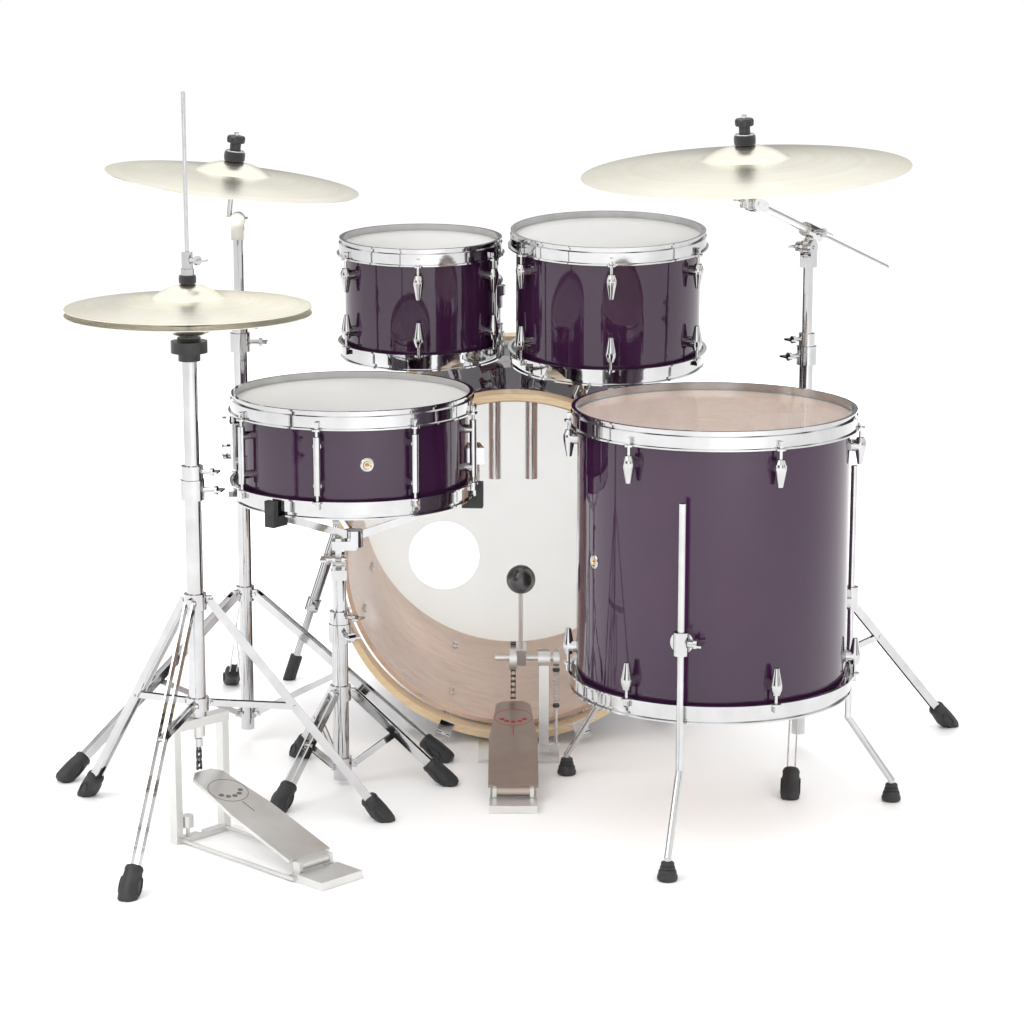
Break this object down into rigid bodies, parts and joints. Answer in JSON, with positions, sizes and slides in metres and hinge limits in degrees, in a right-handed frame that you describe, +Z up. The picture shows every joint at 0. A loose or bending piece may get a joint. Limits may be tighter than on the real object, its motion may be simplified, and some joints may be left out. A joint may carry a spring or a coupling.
{
  "type": "acoustic drum kit",
  "caption": "Acoustic drum kit: bass drum with pedal and spurs, mounted toms, floor tom, snare on a stand, hi-hat with pedal, crash and ride cymbals on stands.",
  "frame": {"origin": "centre of the kit's footprint, on the floor that every foot stands on", "axes": "+Z up, +Y from the drummer's seat towards the audience, +X to the drummer's right"},
  "size_m": [1.4759, 1.3087, 1.105],
  "materials": {
    "chrome": "bright polished chrome plate",
    "clear_head": "polyester film, clear on the struck side and white at the front",
    "coated_head": "white coated polyester film",
    "cymbal": "polished cast bronze with lathe lines",
    "lacquer": "deep plum high-gloss lacquer over wood",
    "maple": "natural maple under clear gloss lacquer",
    "pedal_metal": "satin cast aluminium",
    "steel": "bright drawn steel"
  },
  "bodies": {
    "kit": {"bass_shell": "lacquer", "bass_heads": "clear_head", "bass_hoops": "maple", "bass_lugs": "chrome", "bass_claws": "chrome", "bass_brackets": "chrome", "floor_tom_shell": "lacquer", "floor_tom_heads": "clear_head", "floor_tom_hoops": "chrome", "floor_tom_lugs": "chrome", "snare_tripod": "chrome", "hihat_tripod": "chrome", "hihat_frame": "pedal_metal", "crash_tripod": "chrome", "ride_tripod": "chrome", "pedal_base": "pedal_metal"},
    "spur_left": {"spur_left": "chrome"},
    "spur_right": {"spur_right": "chrome"},
    "high_tom_post": {"high_tom_post": "chrome"},
    "high_tom_tilter": {"high_tom_tilter": "chrome"},
    "high_tom": {"high_tom_arm": "chrome", "high_tom_shell": "lacquer", "high_tom_heads": "coated_head", "high_tom_hoops": "chrome", "high_tom_lugs": "chrome"},
    "mid_tom_post": {"mid_tom_post": "chrome"},
    "mid_tom_tilter": {"mid_tom_tilter": "chrome"},
    "mid_tom": {"mid_tom_arm": "chrome", "mid_tom_shell": "lacquer", "mid_tom_heads": "coated_head", "mid_tom_hoops": "chrome", "mid_tom_lugs": "chrome"},
    "floor_tom_leg_1": {"floor_tom_leg_1": "chrome"},
    "floor_tom_leg_2": {"floor_tom_leg_2": "chrome"},
    "floor_tom_leg_3": {"floor_tom_leg_3": "chrome"},
    "snare_upper_tube": {"snare_upper_tube": "chrome"},
    "snare": {"snare_basket": "chrome", "snare_shell": "lacquer", "snare_heads": "coated_head", "snare_hoops": "chrome", "snare_lugs": "chrome", "snare_wires": "steel", "snare_strainer": "chrome"},
    "snare_strainer_lever": {"snare_strainer_lever": "chrome"},
    "hihat_upper_tube": {"hihat_upper_tube": "chrome"},
    "hihat_bottom_cymbal": {"hihat_bottom_cymbal": "cymbal"},
    "hihat_pull_rod": {"hihat_pull_rod": "steel"},
    "hihat_clutch": {"hihat_clutch": "chrome"},
    "hihat_top_cymbal": {"hihat_top_cymbal": "cymbal"},
    "hihat_footboard": {"hihat_footboard": "pedal_metal"},
    "crash_upper_tube": {"crash_upper_tube": "chrome"},
    "crash_tilter": {"crash_tilter": "chrome"},
    "crash_cymbal": {"crash_cymbal": "cymbal"},
    "ride_upper_tube": {"ride_upper_tube": "chrome"},
    "ride_boom_clamp": {"ride_boom_clamp": "chrome"},
    "ride_boom_arm": {"ride_boom_arm": "chrome"},
    "ride_tilter": {"ride_tilter": "chrome"},
    "ride_cymbal": {"ride_cymbal": "cymbal"},
    "pedal_footboard": {"pedal_footboard": "pedal_metal"},
    "pedal_beater": {"pedal_beater": "chrome"}
  },
  "joints": [
    {"name": "spur_left_fold", "type": "hinge", "parent": "kit", "child": "spur_left", "pos_m": [-0.3195, 0.50331, 0.29662], "axis": [1, 0, 0], "range_deg": [-90, 0]},
    {"name": "spur_right_fold", "type": "hinge", "parent": "kit", "child": "spur_right", "pos_m": [0.2915, 0.50331, 0.29662], "axis": [1, 0, 0], "range_deg": [-90, 0]},
    {"name": "high_tom_height", "type": "slide", "parent": "kit", "child": "high_tom_post", "axis": [0, -0.0349, 0.9994], "range_m": [0, 0.04]},
    {"name": "high_tom_swivel", "type": "hinge", "parent": "high_tom_post", "child": "high_tom_tilter", "pos_m": [-0.046, 0.45533, 0.72508], "axis": [0, -0.0349, 0.9994], "range_deg": [-25, 0]},
    {"name": "high_tom_tilt", "type": "hinge", "parent": "high_tom_tilter", "child": "high_tom", "pos_m": [-0.046, 0.45533, 0.72508], "axis": [1, 0, 0], "range_deg": [-10, 3]},
    {"name": "mid_tom_height", "type": "slide", "parent": "kit", "child": "mid_tom_post", "axis": [0, -0.0349, 0.9994], "range_m": [0, 0.04]},
    {"name": "mid_tom_swivel", "type": "hinge", "parent": "mid_tom_post", "child": "mid_tom_tilter", "pos_m": [0.018, 0.4548, 0.74038], "axis": [0, -0.0349, 0.9994], "range_deg": [0, 25]},
    {"name": "mid_tom_tilt", "type": "hinge", "parent": "mid_tom_tilter", "child": "mid_tom", "pos_m": [0.018, 0.4548, 0.74038], "axis": [1, 0, 0], "range_deg": [-10, 2]},
    {"name": "floor_tom_leg_1_height", "type": "slide", "parent": "kit", "child": "floor_tom_leg_1", "axis": [0, 0, 1], "range_m": [0, 0.06]},
    {"name": "floor_tom_leg_2_height", "type": "slide", "parent": "kit", "child": "floor_tom_leg_2", "axis": [0, 0, 1], "range_m": [0, 0.06]},
    {"name": "floor_tom_leg_3_height", "type": "slide", "parent": "kit", "child": "floor_tom_leg_3", "axis": [0, 0, 1], "range_m": [0, 0.06]},
    {"name": "snare_height", "type": "slide", "parent": "kit", "child": "snare_upper_tube", "axis": [0, 0, 1], "range_m": [0, 0.05]},
    {"name": "snare_tilt", "type": "hinge", "parent": "snare_upper_tube", "child": "snare", "pos_m": [-0.286, -0.1115, 0.365], "axis": [1, 0, 0], "range_deg": [0, 10]},
    {"name": "snare_strainer_throw", "type": "hinge", "parent": "snare", "child": "snare_strainer_lever", "pos_m": [-0.4561, -0.13998, 0.545], "axis": [0.165, -0.9863, 0], "range_deg": [0, 60]},
    {"name": "hihat_height", "type": "slide", "parent": "kit", "child": "hihat_upper_tube", "axis": [0, 0, 1], "range_m": [0, 0.06]},
    {"name": "hihat_bottom_spin", "type": "hinge", "parent": "hihat_upper_tube", "child": "hihat_bottom_cymbal", "pos_m": [-0.482, -0.369, 0.78], "axis": [0, 0, 1], "continuous": true},
    {"name": "hihat_pull", "type": "slide", "parent": "kit", "child": "hihat_pull_rod", "axis": [0, 0, 1], "range_m": [-0.007, 0], "stiffness_N_per_m": 1300, "springref_m": 0.03},
    {"name": "hihat_clutch_height", "type": "slide", "parent": "hihat_pull_rod", "child": "hihat_clutch", "axis": [0, 0, 1], "range_m": [0, 0.06]},
    {"name": "hihat_top_spin", "type": "hinge", "parent": "hihat_clutch", "child": "hihat_top_cymbal", "pos_m": [-0.482, -0.369, 0.81], "axis": [0, 0, 1], "continuous": true},
    {"name": "hihat_pedal", "type": "hinge", "parent": "kit", "child": "hihat_footboard", "pos_m": [-0.30206, -0.54277, 0.02], "axis": [0.6947, 0.7193, 0], "range_deg": [-1.62, 0]},
    {"name": "crash_height", "type": "slide", "parent": "kit", "child": "crash_upper_tube", "axis": [0, 0, 1], "range_m": [0, 0.15]},
    {"name": "crash_tilt", "type": "hinge", "parent": "crash_upper_tube", "child": "crash_tilter", "pos_m": [-0.456, 0.128, 0.868], "axis": [0, 1, 0], "range_deg": [-25, 0]},
    {"name": "crash_spin", "type": "hinge", "parent": "crash_tilter", "child": "crash_cymbal", "pos_m": [-0.46301, 0.1264, 0.93017], "axis": [0.1132, -0.0262, 0.9932], "continuous": true},
    {"name": "ride_height", "type": "slide", "parent": "kit", "child": "ride_upper_tube", "axis": [0, 0, 1], "range_m": [0, 0.15]},
    {"name": "ride_boom_tilt", "type": "hinge", "parent": "ride_upper_tube", "child": "ride_boom_clamp", "pos_m": [0.458, 0.101, 0.827], "axis": [0.7986, -0.6018, 0], "range_deg": [-15, 3]},
    {"name": "ride_boom_reach", "type": "slide", "parent": "ride_boom_clamp", "child": "ride_boom_arm", "axis": [-0.569, -0.7551, 0.3256], "range_m": [-0.06, 0.06]},
    {"name": "ride_tilt", "type": "hinge", "parent": "ride_boom_arm", "child": "ride_tilter", "pos_m": [0.35763, -0.0322, 0.91087], "axis": [0.7986, -0.6018, 0], "range_deg": [-12, 15]},
    {"name": "ride_spin", "type": "hinge", "parent": "ride_tilter", "child": "ride_cymbal", "pos_m": [0.34279, -0.0515, 0.96409], "axis": [-0.0522, -0.061, 0.9968], "continuous": true},
    {"name": "pedal_beater_swing", "type": "hinge", "parent": "kit", "child": "pedal_beater", "pos_m": [-0.014, 0.053, 0.162], "axis": [1, 0, 0], "range_deg": [-53.5, 0], "stiffness_Nm_per_rad": 0.9, "springref_deg": 51.57},
    {"name": "pedal_footboard_press", "type": "hinge", "parent": "kit", "child": "pedal_footboard", "pos_m": [-0.014, -0.21598, 0.02], "axis": [1, 0, 0], "range_deg": [-3.67, 0]}
  ],
  "couplings": [
    {"joint": "hihat_pedal", "follows": "hihat_pull", "rad_per_m": 3.9976},
    {"joint": "pedal_footboard_press", "follows": "pedal_beater_swing", "ratio": 0.068265},
    {"joint": "hihat_clutch_height", "follows": "hihat_height", "ratio": 1}
  ]
}
